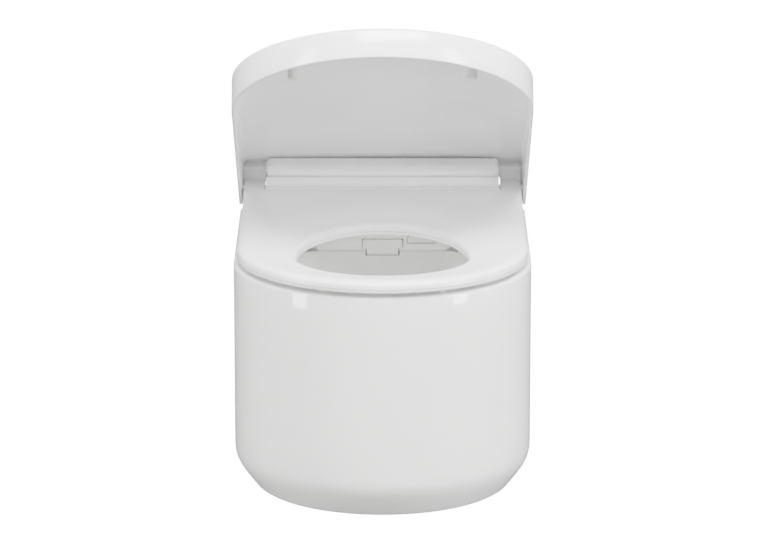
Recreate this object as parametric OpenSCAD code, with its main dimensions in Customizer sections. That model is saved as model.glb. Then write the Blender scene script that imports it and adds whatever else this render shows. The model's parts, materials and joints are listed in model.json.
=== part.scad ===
// Wall-hung shower toilet: a ceramic bowl with a built-in electric bidet unit, a heated seat and a lid.
// Millimetres. The origin is on the wall plane, midway between the two wall bolts.
// +Z is up, +Y goes into the wall and the front of the bowl points along -Y.

/* [Bowl] */
// Half of the bowl's width, also the radius of its round front
bowl_half_width = 190; // [185:1:195]
// Distance from the wall to the front of the bowl
bowl_length = 588; // [570:1:600]
// Height of the rim above the wall bolts
rim_z = 80; // [78:1:84]
// Height of the bowl from its underside to the rim
bowl_height = 291; // [285:1:300]
// Height of the sloped band round the underside
bowl_chamfer_height = 33; // [25:1:40]
// How far that band runs in
bowl_chamfer_inset = 25; // [18:1:30]
// Thickness of the ceramic
bowl_wall = 12; // [10:1:14]

/* [Wall connections] */
// Spacing of the two wall bolts
bolt_spacing = 180; // [180, 230]
// Radius of the bolt passage in the plastic sleeves
bolt_hole_r = 6.5; // [6.5:0.25:7.5]
// Distance of the soil outlet below the bolts
outlet_drop = 100; // [95:1:105]
// Outside radius of the soil outlet
outlet_r = 51; // [50:0.5:52]
// Height of the flush inlet above the bolts
inlet_rise = 35; // [33:1:35]
// Radius of the flush inlet
inlet_r = 27.5; // [26:0.5:28]

/* [Seat and lid] */
// Distance from the wall to the hinge axis
hinge_back = 90; // [89:1:91]
// Height of the hinge axis above the rim
hinge_rise = 21; // [21:0.5:22]
// Radius of the hinge shafts
shaft_r = 4; // [3:0.5:4]
// How far the lid stands open at rest, in degrees
lid_rest_angle = 34; // [0:1:60]
// Half of the lid's width
lid_half_width = 192.3; // [192:0.1:193]
// Distance from the hinge axis to the front of the lid
lid_reach = 509.5; // [508:0.5:512]
// Slope of the lid's top, in degrees
lid_slope = 2.9; // [2.6:0.1:3]
// Half of the seat's width
seat_half_width = 184.5; // [184:0.1:185]
// Distance from the hinge axis to the front of the seat
seat_reach = 502; // [500:0.5:502.5]

/* [Bidet unit] */
// Half of the unit's width
unit_half_width = 175.5; // [174:0.5:176]
// Downward slope of the spray wand, in degrees
wand_slope = 5; // [4:0.5:6]
// Travel of the wand's outer tube
wand_outer_travel = 75; // [60:1:75]
// Travel of the inner tube out of the outer one
wand_inner_travel = 80; // [60:1:85]
// Radius of the wand's outer tube
wand_outer_r = 10; // [9:0.5:10]
// Radius of the wand's inner tube
wand_inner_r = 7; // [6:0.5:7]

/* [Hidden] */

gap = 0.3;            // room between pieces that only lie side by side
running = 0.05;       // radial room in a running fit
plastic = 2.5;        // wall thickness of the moulded casings
floor_gap = 0.5;      // room between the unit and the ceramic
step = 5;             // degrees between the points of a formula outline

hinge_z = rim_z + hinge_rise;
bowl_bottom = rim_z - bowl_height;
bowl_centre = bowl_half_width - bowl_length;
front_centre = -410;  // centre of the round front of the seat and the lid
lid_depth = lid_reach + hinge_back + front_centre;
seat_depth = seat_reach + hinge_back + front_centre;

// the pocket in the ceramic that holds the bidet unit
pocket_half_width = 177;
pocket_front = -216;
pocket_back = -15;
pocket_floor = 20;
dam_front = -229;
dam_top = 40;
rear_deck = 52;       // lowered rear of the ceramic, clear of the swinging lid
side_step = -122;     // where that lowered part starts
inlet_wall = 5;
inlet_front = -34;    // the flush inlet turns down here
notch_half = 35;      // notch in the unit round the flush inlet
notch_front = -42;
service_x = 120;      // water inlet and mains gland, to the left and right
service_z = 36;

// the bidet unit
tray_top = 49;
cover_top = rim_z + 1.5;
deck_top = rear_deck;
deck_step = -108;     // front edge of the low deck beside the hinge cover
unit_front = pocket_front + floor_gap + 1;
unit_back = pocket_back - floor_gap - 1;
bar_half = 156;       // half length of the hinge cover
bar_back_r = 40;      // the hinge cover's back is round about the hinge axis
bar_support_back = 8; // the cover's foot ends this far behind the axis
bar_front = 33;
nose_half = 92;
nose_front = -224;
nose_bottom = rim_z - 32.6;
door_half = 26.2;
stem_half = 20.8;
door_top = 62.5;
stem_top = 50.8;
door_bottom = 41.8;
flap_left = 33;
flap_right = 69.6;
flap_bottom = 58;
flap_top = 69.8;

// the seat
ear_inner = 157.5;
ear_r = 23.2;
ear_rise = 6;         // the seat's top above the hinge axis
seat_thickness = 21;
seat_slope = 0.7;
seat_top = hinge_z + ear_rise;
seat_bottom = seat_top - seat_thickness;
seat_split = seat_bottom + 4;
seat_rear = 35.5;       // the seat's rear edge between the ears, ahead of the axis
hole_half = 109;
hole_tip = -449;
hole_front_depth = 92;
hole_rear_depth = 158;

// the lid, in its own closed frame with the hinge axis as origin
lid_wall = 4.7;
lid_panel = 4.5;
lid_edge = -19.2;
lid_rear = 28;
lid_rear_wall = 3.5;
lid_front_top = 20.2;
lip_low = 34;         // the rear wall stops here above the hinge cover
ear_wall_low = 0;     // and here above the seat's ears
lid_bumper_x = 113;
lid_bumper_u = 383;
lid_bumper_low = 1.8; // just above the seat when the lid is shut

// the spray wand: its axis leaves the unit at this height
wand_y = -220.5;
wand_z = 53;
wand_outer_start = 15;
wand_outer_length = 115;
wand_inner_length = 118;
rack_pitch = 4;
pinion_teeth = 12;
pinion_pitch_r = rack_pitch * pinion_teeth / (2 * PI);
pinion_back = 31;     // a gap of the rack lies over a tooth of the pinion here
pinion_half = 3;
guide_back = 42;
guide_length = 12;
rack_half = 3;
rack_base = 2.4;
tooth_height = 2.2;
tooth_width = 1.2;
pinion_drop = wand_outer_r + rack_base + tooth_height / 2 + pinion_pitch_r;

// the dryer
fan_x = 92;
fan_y = -128;
fan_r = 34;
fan_low = 52;
fan_high = 76;
duct_low = 56;
duct_high = 73;

module along_x(length, radius) {
  rotate([0, 90, 0]) cylinder(h = length, r = radius, center = true, $fn = 64);
}

module block(low, high) {
  translate(low) cube(high - low);
}

module at_hinge() {
  translate([0, -hinge_back, hinge_z]) children();
}

module at_lid() {
  at_hinge() rotate([-lid_rest_angle, 0, 0]) children();
}

module at_wand(back) {
  translate([0, wand_y, wand_z]) rotate([wand_slope, 0, 0]) translate([0, back, 0]) children();
}

// a cylinder along the wand's axis, from `back` behind the front cap and `length` long
module wand_rod(back, length, radius) {
  at_wand(back) rotate([-90, 0, 0]) cylinder(h = length, r = radius, $fn = 64);
}

// outline with an elliptical front and straight sides, seen from above
function front_outline(half, depth, rear) = concat(
  [for (a = [0:step:180]) [half * cos(a), front_centre - depth * sin(a)]],
  [[-half, rear], [half, rear]]
);

module d_prism(half, depth, rear, low, high) {
  translate([0, 0, low]) linear_extrude(high - low) polygon(front_outline(half, depth, rear));
}

// the bowl's outer form: half a turned body in front, a straight extrusion behind
module bowl_form(half, low, high, back) {
  profile = [
    [0, low], [half - bowl_chamfer_inset, low], [half, low + bowl_chamfer_height], [half, high], [0, high]
  ];
  translate([0, bowl_centre, 0]) rotate_extrude($fn = 128) polygon(profile);
  translate([0, back, 0]) rotate([90, 0, 0]) linear_extrude(back - bowl_centre)
    union() {
      polygon(profile);
      mirror([1, 0]) polygon(profile);
    }
}

// stages of the basin: height, centre and radius
basin_stages = [[rim_z, -398, 150], [10, -392, 138], [-60, -372, 106], [-120, -345, 66], [-160, -335, 44]];

module basin(grow) {
  hull() {
    for (s = basin_stages)
      translate([0, s[1], s[0] - (s[0] == rim_z ? 0 : grow)]) cylinder(h = 1, r = s[2] + grow, $fn = 48);
    for (side = [-1, 1])
      translate([side * 75, -262, dam_top]) cylinder(h = rim_z - dam_top + 1, r = 40 + grow, $fn = 24);
  }
}

ball_proud = 0.6;

// a bent passage: straight runs with a ball at each bend, a little fatter than the runs
module passage(points, radius) {
  for (i = [0:len(points) - 2]) {
    run = points[i + 1] - points[i];
    length = norm(run);
    translate(points[i]) rotate([0, acos(run[2] / length), atan2(run[1], run[0])])
      cylinder(h = length, r = radius, $fn = 48);
    if (i > 0) translate(points[i]) sphere(r = radius + ball_proud, $fn = 48);
  }
}

// the water trap, from the sump over its weir to the outlet, and the flush channel beside it
trap_points = [
  [0, -345, -160], [0, -285, -160], [0, -205, -44], [0, -125, -outlet_drop], [0, -40, -outlet_drop]
];
trap_r = 33;
trap_wall = 8;
flush_half = 14;
flush_x = 55;
flush_low = -28;
flush_high = -2;
flush_wall = 6;
spigot_front = -66;
spigot_end = -2;

module ceramic_body() {
  difference() {
    bowl_form(bowl_half_width, bowl_bottom, rim_z, 0);
    // hollow skirt, open towards the wall below the bolt plate
    difference() {
      bowl_form(bowl_half_width - bowl_wall, bowl_bottom + bowl_wall, rim_z - bowl_wall, pocket_back);
      block([-bowl_half_width, dam_front, pocket_floor - bowl_wall], [bowl_half_width, 0, rim_z]);
    }
    block([-140, pocket_back - 1, bowl_bottom + 25], [140, 1, -45]);
  }
}

module along_y(front, back, radius) {
  translate([0, front, 0]) rotate([-90, 0, 0]) cylinder(h = back - front, r = radius, $fn = 64);
}

module at_bolts() {
  for (side = [-1, 1]) translate([side * bolt_spacing / 2, 0, 0]) children();
}

module at_service(side) {
  translate([side * service_x, 0, service_z]) children();
}

module at_outlet() {
  translate([0, 0, -outlet_drop]) children();
}

module at_inlet() {
  translate([0, 0, inlet_rise]) children();
}

module unit_screw_places() {
  for (side = [-1, 1]) translate([side * 125, -132, 0]) children();
}

// flush water falls behind the inlet, crosses over and runs forward to the basin
module flush_channel(grow) {
  back = pocket_back - 1 + grow / 2;
  block([-flush_half - grow, inlet_front - grow, flush_low - grow], [flush_half + grow, back, inlet_rise]);
  block([0, inlet_front - grow, flush_low - grow], [flush_x + flush_half + grow, back, flush_high + grow]);
  block([flush_x - flush_half - grow, -300, flush_low - grow],
    [flush_x + flush_half + grow, back, flush_high + grow]);
}

module ceramic_solid() {
  difference() {
    ceramic_body();
    // pocket for the bidet unit, its front opening and the lowered rear
    block([-pocket_half_width, pocket_front, pocket_floor], [pocket_half_width, pocket_back, rim_z + 1]);
    block([-100, dam_front - 1, dam_top], [100, pocket_front + 1, rim_z + 1]);
    block([-200, side_step, rear_deck], [200, 1, rim_z + 1]);
  }
  intersection() {
    basin(bowl_wall - 2);
    block([-200, -600, bowl_bottom + 2], [200, pocket_front, dam_top]);
  }
  passage(trap_points, trap_r + trap_wall);
  at_outlet() along_y(spigot_front, spigot_end, outlet_r);
  at_inlet() along_y(inlet_front - inlet_wall, -1, inlet_r + inlet_wall);
  flush_channel(flush_wall);
  at_bolts() along_y(-32, -1, 22);
}

module ceramic_bowl() {
  color("white") difference() {
    ceramic_solid();
    basin(0);
    passage(trap_points, trap_r);
    at_outlet() along_y(spigot_front + 8, 10, outlet_r - 7);
    at_inlet() along_y(inlet_front, 10, inlet_r);
    flush_channel(0);
    at_bolts() along_y(-40, 10, 12);
    at_bolts() along_y(-60, -32, 14.3);
    for (side = [-1, 1]) at_service(side) along_y(pocket_back - 5, 10, 13);
    unit_screw_places() cylinder(h = 40, r = 3.2, $fn = 48);
  }
}

module wall_bolt_sleeves() {
  color("lightgray") at_bolts() difference() {
    union() {
      along_y(-32, 0, 11.9);
      along_y(-35, -32, 14);
    }
    along_y(-40, 10, bolt_hole_r);
  }
}

module unit_plan(low, high, inset) {
  difference() {
    block([inset - unit_half_width, unit_front + inset, low],
      [unit_half_width - inset, unit_back - inset, high]);
    block([-notch_half - inset, notch_front - inset, low - 1], [notch_half + inset, 0, high + 1]);
  }
}

tray_bottom = pocket_floor + 2;
tray_floor = tray_bottom + plastic;
wand_slot = 30; // half width of the opening for the wand in the tray and the cover

module unit_tray() {
  color("whitesmoke") difference() {
    unit_plan(tray_bottom, tray_top, 0);
    unit_plan(tray_bottom + plastic, tray_top + 1, plastic);
    block([-wand_slot, unit_front - 1, dam_top], [wand_slot, unit_front + 5, tray_top + 1]);
    for (side = [-1, 1]) at_service(side) along_y(-25, 0, 10.6);
    unit_screw_places() cylinder(h = 40, r = 3.2, $fn = 48);
  }
}

// the cover's form: a raised front under the seat, a tongue under the hinge cover and a low rear deck
module cover_form(grow, low, high_top, low_top) {
  block([grow - unit_half_width, unit_front + grow, low],
    [unit_half_width - grow, deck_step - grow, high_top]);
  block([grow - bar_half, unit_front + grow, low],
    [bar_half - grow, bar_support_back - hinge_back - grow, high_top]);
  unit_plan(low, low_top, grow);
}

module unit_cover() {
  color("white") difference() {
    cover_form(0, tray_top, cover_top, deck_top);
    cover_form(plastic, tray_top - 1, cover_top - plastic, deck_top - plastic);
    // passage for the hinge drives above, the wand and the dryer duct
    block([8 - bar_half, -hinge_back - 12, cover_top - 5], [bar_half - 8, -hinge_back, cover_top + 1]);
    block([-wand_slot, unit_front - 1, tray_top - 1], [wand_slot, unit_front + 5, 67]);
    block([flap_left - gap, unit_front - 1, duct_low - gap],
      [flap_right + 1.4 + gap, unit_front + 5, duct_high + gap]);
  }
}

module unit_gasket() {
  color("dimgray") difference() {
    block([1 - unit_half_width, unit_front + 1, pocket_floor],
      [unit_half_width - 1, unit_front + 9, tray_bottom]);
    block([3 - unit_half_width, unit_front + 3, pocket_floor - 1],
      [unit_half_width - 3, unit_front + 7, tray_bottom + 1]);
  }
}

module unit_screws() {
  color("silver") unit_screw_places() {
    translate([0, 0, 2]) cylinder(h = tray_floor, r = 3, $fn = 48);
    translate([0, 0, tray_floor]) cylinder(h = 4, r = 5.5, $fn = 6);
    translate([0, 0, pocket_floor - bowl_wall - 4]) cylinder(h = 4, r = 5.5, $fn = 6);
  }
}

// outline of the wand's opening and of the cap that closes it: a wide top with a narrower stem
module t_outline(room) {
  translate([-door_half - room, stem_top - room])
    square([2 * (door_half + room), door_top - stem_top + 2 * room]);
  translate([-stem_half - room, door_bottom - room])
    square([2 * (stem_half + room), stem_top - door_bottom + 2 * room]);
}

module front_fascia() {
  outline = [
    [-nose_half + 8, nose_bottom], [nose_half - 8, nose_bottom], [nose_half, nose_bottom + 8],
    [nose_half, cover_top], [-nose_half, cover_top], [-nose_half, nose_bottom + 8]
  ];
  color("whitesmoke") difference() {
    translate([0, unit_front, 0]) rotate([90, 0, 0]) linear_extrude(unit_front - nose_front) polygon(outline);
    // hollow behind the face
    block([-nose_half + plastic + 6, nose_front + plastic, nose_bottom + plastic],
      [nose_half - plastic - 6, unit_front + 1, cover_top - plastic]);
    translate([0, unit_front + 1, 0]) rotate([90, 0, 0]) linear_extrude(20) t_outline(1.2);
    block([-30, nose_front + plastic, 40], [30, unit_front + 1, 66]);
    block([flap_left - 0.6, nose_front - 1, flap_bottom - 0.6],
      [flap_right + 0.6, unit_front + 1, flap_top + 0.8]);
  }
}

// the hinge cover's section: forward distance and height from the hinge axis, its back an arc
bar_foot = cover_top - hinge_z;
bar_section = concat(
  [[bar_front, bar_foot], [bar_front, ear_rise - 0.5], [20, ear_rise + 1.5], [15.5, 17], [12, 27.5], [8, 32]],
  [[2, 34], [-12, 38.2]],
  [for (a = [110:10:200]) [bar_back_r * cos(a), bar_back_r * sin(a)]],
  [[-bar_support_back, bar_foot]]
);
bar_hollow = [
  [bar_front - plastic, bar_foot - 1], [bar_front - plastic, 3], [19, 5], [13.2, 15.5], [9.6, 26.5],
  [1, 31.6], [-12, 35.4], [-26, 27], [-35, 12], [-37, 0], [-34.5, -12.5], [-bar_support_back, bar_foot + 3],
  [-bar_support_back + plastic, bar_foot - 1]
];

// draws a section given as forward distance and height about the hinge axis
module hinge_section(half) {
  translate([half, 0, 0]) rotate([90, 0, -90]) linear_extrude(2 * half) children();
}

module hinge_cover() {
  color("white") at_hinge() difference() {
    hinge_section(bar_half) polygon(bar_section);
    hinge_section(bar_half - plastic) polygon(bar_hollow);
    along_x(2 * bar_half + 2, shaft_r + running);
  }
}

module gearmotor(side) {
  color("gray") at_hinge() translate([side * 118, 0, 0]) difference() {
    union() {
      along_x(66, 16);
      translate([-side * 38, 0, 0]) along_x(12, 11);
    }
    translate([side * 12, 0, 0]) along_x(50, shaft_r + running);
  }
}

module lid_motor() {
  gearmotor(-1);
}

module seat_motor() {
  gearmotor(1);
}

// the shaft lies from the motor through the ear into the lid's side
module drive_shaft(side) {
  at_hinge() translate([side * (110 + lid_half_width - lid_wall + 3) / 2, 0, 0])
    along_x(lid_half_width - lid_wall + 3 - 110, shaft_r);
}

module lid_drive_shaft() {
  color("silver") drive_shaft(-1);
}

module seat_drive_shaft() {
  color("silver") drive_shaft(1);
}

// the seat's outline from above: round front, two ears with the hinge cover between them
module seat_plan(inset, low, high) {
  difference() {
    d_prism(seat_half_width - inset, seat_depth - inset, -hinge_back, low, high);
    block([-ear_inner - inset, -hinge_back - seat_rear - inset, low - 1], [ear_inner + inset, 0, high + 1]);
    hole_prism(inset, low - 1, high + 1);
  }
}

module hole_prism(grow, low, high) {
  points = [for (a = [0:step:359]) [
    (hole_half + grow) * cos(a),
    hole_tip - (sin(a) > 0 ? hole_front_depth + grow : hole_rear_depth + grow) * sin(a)
  ]];
  translate([0, 0, low]) linear_extrude(high - low) polygon(points);
}

module seat_ears() {
  for (side = [-1, 1])
    at_hinge() translate([side * (ear_inner + seat_half_width) / 2, 0, 0])
      along_x(seat_half_width - ear_inner, ear_r);
}

// everything under the seat's sloping top face, less `drop`
module under_seat_top(drop) {
  at_hinge() translate([0, 0, ear_rise - drop]) rotate([seat_slope, 0, 0]) block([-300, -600, -80],
    [300, 60, 0]);
}

seat_shell_rear = -hinge_back - ear_r - 6; // the ears are solid behind this line

module seat_form() {
  intersection() {
    union() {
      seat_plan(0, seat_bottom, seat_top);
      seat_ears();
    }
    under_seat_top(0);
    block([-300, -700, seat_bottom], [300, 0, seat_top]);
  }
}

module seat_upper_shell() {
  color("white") difference() {
    seat_form();
    block([-300, -700, seat_bottom - 1], [300, seat_shell_rear, seat_split]);
    intersection() {
      seat_plan(3, seat_bottom - 1, seat_top);
      under_seat_top(3);
      block([-300, -700, 0], [300, seat_shell_rear, seat_top]);
    }
    at_hinge() along_x(2 * seat_half_width + 2, shaft_r + running);
  }
}

module seat_lower_shell() {
  color("white") difference() {
    intersection() {
      seat_form();
      block([-300, -700, seat_bottom], [300, seat_shell_rear, seat_split]);
    }
    intersection() {
      seat_plan(3, seat_bottom + 2.5, seat_top);
      block([-300, -700, 0], [300, seat_shell_rear - 3, seat_top]);
    }
  }
}

module seat_heating_foil() {
  color("goldenrod") intersection() {
    seat_plan(14, seat_bottom, seat_top);
    difference() {
      under_seat_top(3);
      under_seat_top(3.6);
    }
    block([-300, -700, 0], [300, seat_shell_rear - 6, seat_top]);
  }
}

bumper_places = [[150, -232], [170, -410], [73, -556]];

module seat_bumpers() {
  color("lightgray") for (side = [-1, 1], p = bumper_places)
    translate([side * p[0], p[1], rim_z]) cylinder(h = seat_bottom - rim_z, r = 6, $fn = 48);
}

// everything below the lid's sloping outer face, less `drop`
module under_lid_top(drop) {
  translate([0, -lid_reach, lid_front_top - drop]) rotate([lid_slope, 0, 0]) block([-300, -60, -200],
    [300, 700, 0]);
}

module lid_prism(inset, rear, low, high) {
  translate([0, hinge_back, low]) linear_extrude(high - low)
    polygon(front_outline(lid_half_width - inset, lid_depth - inset, rear - hinge_back));
}

module lid_shell() {
  color("white") at_lid() difference() {
    intersection() {
      lid_prism(0, lid_rear, lid_edge, 60);
      under_lid_top(0);
    }
    intersection() {
      lid_prism(lid_wall, lid_rear - lid_rear_wall, lid_edge - 1, 60);
      under_lid_top(lid_panel);
    }
    // sloped upper rear edge
    translate([0, lid_rear, 43]) rotate([-45, 0, 0]) block([-300, -20, 0], [300, 20, 20]);
    // the rear wall is cut away above the hinge cover and round the seat's ears
    block([-bar_half - 1, 10, lid_edge - 1], [bar_half + 1, lid_rear + 1, lip_low]);
    block([-lid_half_width + lid_wall, 10, lid_edge - 1],
      [lid_half_width - lid_wall, lid_rear + 1, ear_wall_low]);
    along_x(2 * (lid_half_width - lid_wall + 3.1), shaft_r + running);
  }
}

module lid_bumpers() {
  color("whitesmoke") at_lid() for (side = [-1, 1])
    intersection() {
      translate([side * lid_bumper_x, -lid_bumper_u, lid_bumper_low]) cylinder(h = 40, r = 6.5, $fn = 48);
      under_lid_top(lid_panel);
    }
}

rack_first = 6;
rack_count = 26;

// the rack lies along the right side of the outer tube, so that it passes the opening in the fascia
module rack_teeth() {
  face = wand_outer_r + rack_base;
  for (i = [0:1:rack_count - 1])
    at_wand(wand_outer_start + rack_first + i * rack_pitch)
      block([face, -tooth_width / 2, -rack_half], [face + tooth_height, tooth_width / 2, rack_half]);
}

module wand_outer_tube() {
  color("white") difference() {
    union() {
      wand_rod(wand_outer_start, wand_outer_length, wand_outer_r);
      at_wand(wand_outer_start + 3)
        block([wand_outer_r - 1, 0, -rack_half],
          [wand_outer_r + rack_base, wand_outer_length - 6, rack_half]);
      rack_teeth();
    }
    wand_rod(wand_outer_start - 1, wand_outer_length + 2, wand_inner_r + running);
  }
}

module wand_inner_tube() {
  color("white") difference() {
    wand_rod(0, wand_inner_length, wand_inner_r);
    wand_rod(6, wand_inner_length, wand_inner_r - 2);
    // two spray openings on the upper side near the tip
    for (back = [9, 15]) at_wand(back) cylinder(h = 10, r = 1.2, $fn = 24);
  }
}

module wand_front_cap() {
  color("white") intersection() {
    translate([0, wand_y, 0]) rotate([90, 0, 0]) linear_extrude(4) t_outline(0);
    at_wand(-6) block([-40, 0, -20], [40, 6, 20]);
  }
}

module wand_guide() {
  color("gray") difference() {
    union() {
      wand_rod(guide_back, guide_length, wand_outer_r + 3);
      at_wand(guide_back) block([-9, 0, -35], [9, guide_length, 0]);
    }
    wand_rod(guide_back - 10, guide_length + 20, wand_outer_r + running);
    // slot for the rack
    at_wand(guide_back - 10) block([0, 0, -rack_half - gap], [20, guide_length + 20, rack_half + gap]);
    block([-20, -260, 0], [20, 0, tray_floor]);
  }
}

// a narrow-toothed gear outline, four points a tooth
function pinion_outline(root, tip, half) = [
  for (i = [0:pinion_teeth - 1], p = [[root, -half], [tip, -half], [tip, half], [root, half]])
    let (a = i * 360 / pinion_teeth) [p[0] * cos(a) - p[1] * sin(a), p[0] * sin(a) + p[1] * cos(a)]
];

module at_pinion() {
  at_wand(pinion_back) translate([pinion_drop, 0, 0]) children();
}

pinion_shaft_r = 2;
motor_top = -5; // the motor stands under the pinion, this far below the wand's axis

module wand_pinion() {
  root = pinion_pitch_r - tooth_height / 2 - 0.5;
  tip = pinion_pitch_r + tooth_height / 2 - 0.2;
  color("dimgray") at_pinion() {
    translate([0, 0, -pinion_half]) linear_extrude(2 * pinion_half)
      polygon(pinion_outline(root, tip, tooth_width / 2));
    translate([0, 0, motor_top - 7]) cylinder(h = 7 - motor_top, r = pinion_shaft_r, $fn = 48);
  }
}

module wand_motor() {
  color("gray") at_pinion() difference() {
    translate([0, 0, motor_top - 20]) cylinder(h = 20, r = 11, $fn = 64);
    translate([0, 0, motor_top - 8]) cylinder(h = 10, r = pinion_shaft_r + running, $fn = 48);
  }
}

module dryer_duct() {
  color("lightgray") difference() {
    block([flap_left, unit_front + 0.3, duct_low], [flap_right + 1.4, fan_y, duct_high]);
    block([flap_left + 1.8, unit_front - 1, duct_low + 1.8], [flap_right - 0.4, fan_y + 1, duct_high - 1.8]);
    translate([fan_x, fan_y, fan_low - 1]) cylinder(h = 40, r = fan_r + gap, $fn = 96);
  }
}

module dryer_flap() {
  color("white") block([flap_left, nose_front, flap_bottom], [flap_right, nose_front + 1.8, flap_top - 1.2]);
  color("white") translate([(flap_left + flap_right) / 2, nose_front + 1.8, flap_top - 1.4])
    along_x(flap_right - flap_left, 1.4);
}

module dryer_fan_housing() {
  color("gray") difference() {
    translate([fan_x, fan_y, fan_low]) cylinder(h = fan_high - fan_low, r = fan_r, $fn = 96);
    translate([fan_x, fan_y, fan_low + 2]) cylinder(h = fan_high - fan_low - 4, r = fan_r - 2, $fn = 96);
    translate([fan_x, fan_y, fan_low - 1]) cylinder(h = 4, r = 4, $fn = 48);
    translate([fan_x, fan_y, fan_high - 3]) cylinder(h = 4, r = 16, $fn = 64);
    block([flap_left + 2, unit_front + 20, duct_low + 2], [flap_right - 0.5, fan_y - 2, duct_high - 2]);
  }
}

module dryer_impeller() {
  color("dimgray") translate([fan_x, fan_y, fan_low + 4]) union() {
    cylinder(h = 1.6, r = 28, $fn = 96);
    cylinder(h = 9, r = 7, $fn = 48);
    translate([0, 0, -12]) cylinder(h = 13, r = 2.5, $fn = 32);
    for (i = [0:1:15]) rotate([0, 0, i * 360 / 16]) translate([20, -0.6, 1]) cube([7.5, 1.2, 13]);
  }
}

module dryer_motor() {
  color("silver") translate([fan_x, fan_y, tray_floor]) difference() {
    cylinder(h = fan_low - tray_floor, r = 15, $fn = 64);
    translate([0, 0, 10]) cylinder(h = 30, r = 2.5 + running, $fn = 32);
  }
}

module dryer_heater() {
  color("peru") for (i = [0:1:3])
    block([flap_left + 6 + i * 7, -198, duct_low + 1.8], [flap_left + 7.2 + i * 7, -168, duct_high - 1.8]);
}

module water_tank() {
  color("lightgray") difference() {
    block([-160, -205, tray_floor], [-62, -140, 74]);
    block([-157, -202, tray_floor + 3], [-65, -143, 71]);
  }
}

module tank_heater_coil() {
  color("silver") for (i = [0:1:3]) translate([-146 + i * 24, -172, 50]) rotate([0, 90, 0])
    rotate_extrude($fn = 48) translate([14, 0]) circle(r = 2.5, $fn = 24);
}

module water_pump() {
  color("gray") union() {
    translate([-128, -112, tray_floor + 16]) rotate([0, 90, 0]) cylinder(h = 56, r = 14, $fn = 64);
    translate([-140, -112, tray_floor + 16]) rotate([0, 90, 0]) cylinder(h = 12, r = 16, $fn = 64);
  }
}

valve_x = -52;
valve_y = -100;
valve_seat = 48;      // top of the plunger at rest
valve_travel = 2.5;

module valve_body() {
  color("white") difference() {
    block([valve_x - 12, valve_y - 12, tray_floor], [valve_x + 12, valve_y + 12, 60]);
    translate([valve_x, valve_y, 34]) cylinder(h = 23, r = 5 + running, $fn = 48);
    translate([valve_x - 20, valve_y, 30]) rotate([0, 90, 0]) cylinder(h = 40, r = 3, $fn = 32);
    translate([valve_x, valve_y, 29]) cylinder(h = 10, r = 2.6, $fn = 32);
  }
}

module valve_plunger() {
  color("silver") translate([valve_x, valve_y, valve_seat - 12]) cylinder(h = 12, r = 5, $fn = 48);
}

module valve_spring() {
  color("silver") for (i = [0:1:2]) translate([valve_x, valve_y, valve_seat + valve_travel + 0.8 + i * 2.2])
    rotate_extrude($fn = 48) translate([3.6, 0]) circle(r = 0.5, $fn = 16);
}

module water_inlet() {
  color("gold") at_service(-1) difference() {
    union() {
      along_y(-30, -1, 10.48);
      translate([0, -28, 0]) rotate([-90, 0, 0]) cylinder(h = 8.9, r = 13, $fn = 6);
    }
    along_y(-31, 10, 7);
  }
}

module mains_gland() {
  color("dimgray") at_service(1) difference() {
    union() {
      along_y(-26, -19.1, 11.3);
      along_y(-20, -1, 10.48);
    }
    along_y(-31, 10, 4);
  }
}

module control_board() {
  color("darkgreen") block([85, -92, 28], [165, -36, 29.6]);
  color("gray") for (x = [89, 161], y = [-88, -40]) translate([x, y, tray_floor])
    cylinder(h = 28 - tray_floor, r = 3, $fn = 32);
  color("dimgray") for (i = [0:1:2]) block([92 + i * 24, -82, 29.6], [106 + i * 24, -68, 36]);
}

module power_transformer() {
  color("gray") block([132, -170, tray_floor], [165, -115, 48]);
}

module odour_filter() {
  color("dimgray") difference() {
    block([130, -206, tray_floor], [168, -176, 70]);
    for (i = [0:1:4]) block([133 + i * 7, -207, 30], [137 + i * 7, -200, 66]);
  }
}

ceramic_bowl();
wall_bolt_sleeves();
unit_tray();
unit_cover();
unit_gasket();
unit_screws();
front_fascia();
hinge_cover();
lid_motor();
seat_motor();
seat_upper_shell();
seat_lower_shell();
seat_heating_foil();
seat_bumpers();
seat_drive_shaft();
lid_shell();
lid_bumpers();
lid_drive_shaft();
wand_outer_tube();
wand_inner_tube();
wand_front_cap();
wand_guide();
wand_motor();
wand_pinion();
dryer_duct();
dryer_flap();
dryer_fan_housing();
dryer_impeller();
dryer_motor();
dryer_heater();
water_tank();
tank_heater_coil();
water_pump();
valve_body();
valve_plunger();
valve_spring();
water_inlet();
mains_gland();
control_board();
power_transformer();
odour_filter();
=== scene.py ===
# Wall-hung shower toilet: glazed ceramic bowl, moulded seat, lid, hinge cover and bidet unit.
# Lengths are written in millimetres and made into metres by the last step of each piece.
import json
import math
import bpy
import bmesh
from mathutils import Matrix, Vector
from mathutils.geometry import delaunay_2d_cdt


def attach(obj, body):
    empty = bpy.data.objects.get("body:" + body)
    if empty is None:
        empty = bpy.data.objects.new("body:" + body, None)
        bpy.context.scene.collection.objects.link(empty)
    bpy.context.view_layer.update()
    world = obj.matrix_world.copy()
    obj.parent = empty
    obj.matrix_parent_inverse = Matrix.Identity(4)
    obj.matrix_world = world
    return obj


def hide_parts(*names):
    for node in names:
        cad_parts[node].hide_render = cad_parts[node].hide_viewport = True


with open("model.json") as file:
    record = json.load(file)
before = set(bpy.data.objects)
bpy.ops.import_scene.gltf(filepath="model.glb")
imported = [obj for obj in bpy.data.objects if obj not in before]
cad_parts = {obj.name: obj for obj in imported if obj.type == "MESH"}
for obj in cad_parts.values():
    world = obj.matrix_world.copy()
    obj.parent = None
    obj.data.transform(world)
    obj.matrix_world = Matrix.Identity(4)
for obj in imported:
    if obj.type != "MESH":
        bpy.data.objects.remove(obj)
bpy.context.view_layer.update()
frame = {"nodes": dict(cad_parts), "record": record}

MM = 0.001
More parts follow.
